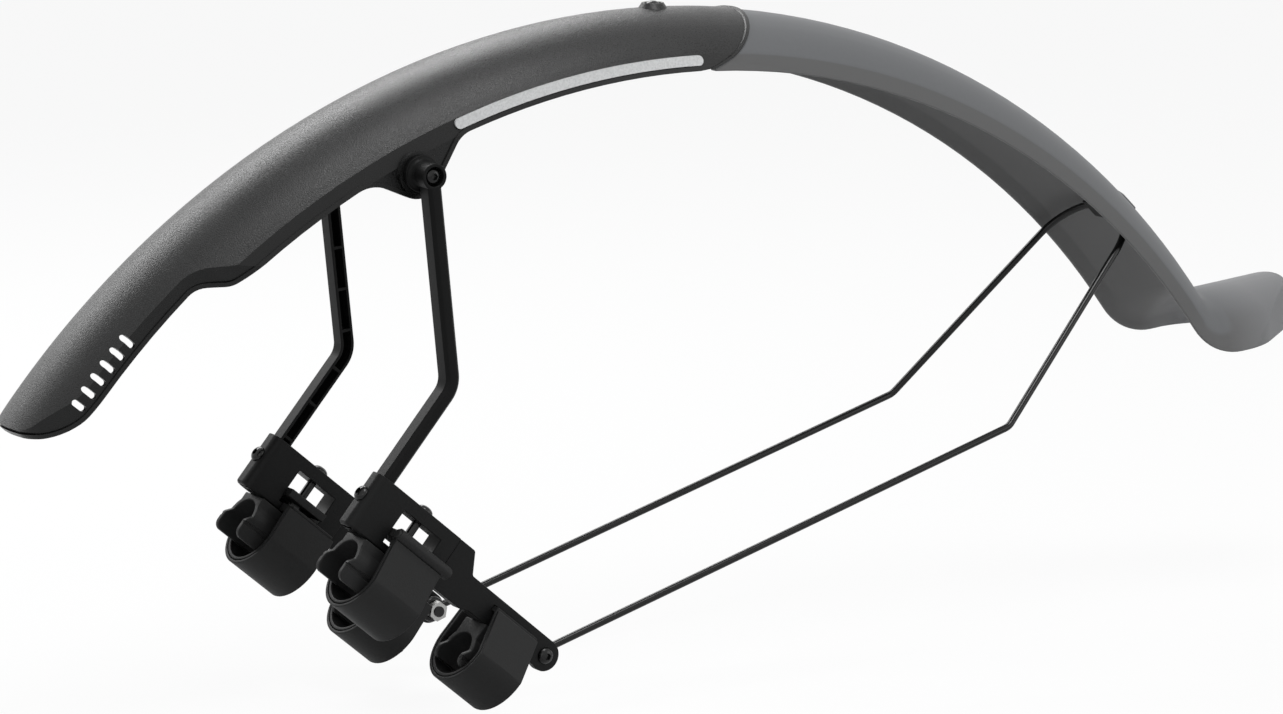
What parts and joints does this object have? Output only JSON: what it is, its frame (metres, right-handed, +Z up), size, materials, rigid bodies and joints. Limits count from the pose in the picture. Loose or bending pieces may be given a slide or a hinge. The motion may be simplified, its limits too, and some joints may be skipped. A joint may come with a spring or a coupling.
{
  "type": "bicycle mudguard",
  "caption": "Clip-on rear bicycle mudguard: textured black blade, grey rear extension with flap, bent arms, strap-on seat stay brackets and a wire stay.",
  "frame": {"origin": "midway between the two upper saddles, on the line of the seat stays' centres", "axes": "+X to the rear of the bicycle, +Y to its right-hand side, +Z up"},
  "size_m": [0.6839, 0.1306, 0.2972],
  "materials": {
    "blade_black": "fine textured black crown",
    "extension_grey": "smoky translucent grey",
    "reflector_grey": "speckled light grey reflective film",
    "arm_black": "smooth black",
    "bracket_black": "smooth black",
    "strap_black": "soft black rubber",
    "screw_black": "black oxide",
    "nut_steel": "plated",
    "insert_brass": "turned",
    "wire_black": "glossy black coating"
  },
  "bodies": {
    "clamps": {"bracket_left": "bracket_black", "tail_left": "bracket_black", "set_screw_left": "screw_black", "tension_screw_left": "screw_black", "tension_nut_left": "nut_steel", "upper_strap_left": "strap_black", "lower_strap_left": "strap_black", "upper_pad_left": "strap_black", "lower_pad_left": "strap_black", "eye_screw_left": "screw_black", "eye_nut_left": "nut_steel", "bracket_right": "bracket_black", "tail_right": "bracket_black", "set_screw_right": "screw_black", "tension_screw_right": "screw_black", "tension_nut_right": "nut_steel", "upper_strap_right": "strap_black", "lower_strap_right": "strap_black", "upper_pad_right": "strap_black", "lower_pad_right": "strap_black", "eye_screw_right": "screw_black", "eye_nut_right": "nut_steel"},
    "arms": {"arm_left": "arm_black", "arm_right": "arm_black"},
    "blade": {"front_blade": "blade_black", "rear_extension": "extension_grey", "reflector_left": "reflector_grey", "reflector_right": "reflector_grey", "crown_screw": "screw_black", "crown_nut_plate": "arm_black", "stay_clip": "arm_black", "pivot_screw_left": "screw_black", "pivot_spacer_left": "arm_black", "pivot_insert_left": "insert_brass", "pivot_screw_right": "screw_black", "pivot_spacer_right": "arm_black", "pivot_insert_right": "insert_brass"},
    "stay": {"stay_wire": "wire_black"}
  },
  "joints": [
    {"name": "arm_slide", "type": "slide", "parent": "clamps", "child": "arms", "axis": [0.6521, 0, 0.7581], "range_m": [-0.003, 0.008]},
    {"name": "blade_tilt", "type": "hinge", "parent": "arms", "child": "blade", "pos_m": [0.03313, 0, 0.16868], "axis": [0, 1, 0], "range_deg": [-0.73, 1.93]},
    {"name": "stay_swing", "type": "hinge", "parent": "clamps", "child": "stay", "pos_m": [0.08535, 0, -0.04584], "axis": [0, 1, 0], "range_deg": [-0.46, 1.21]}
  ],
  "couplings": [
    {"joint": "blade_tilt", "follows": "arm_slide", "rad_per_m": 4.1825},
    {"joint": "stay_swing", "follows": "arm_slide", "rad_per_m": 2.6181}
  ]
}
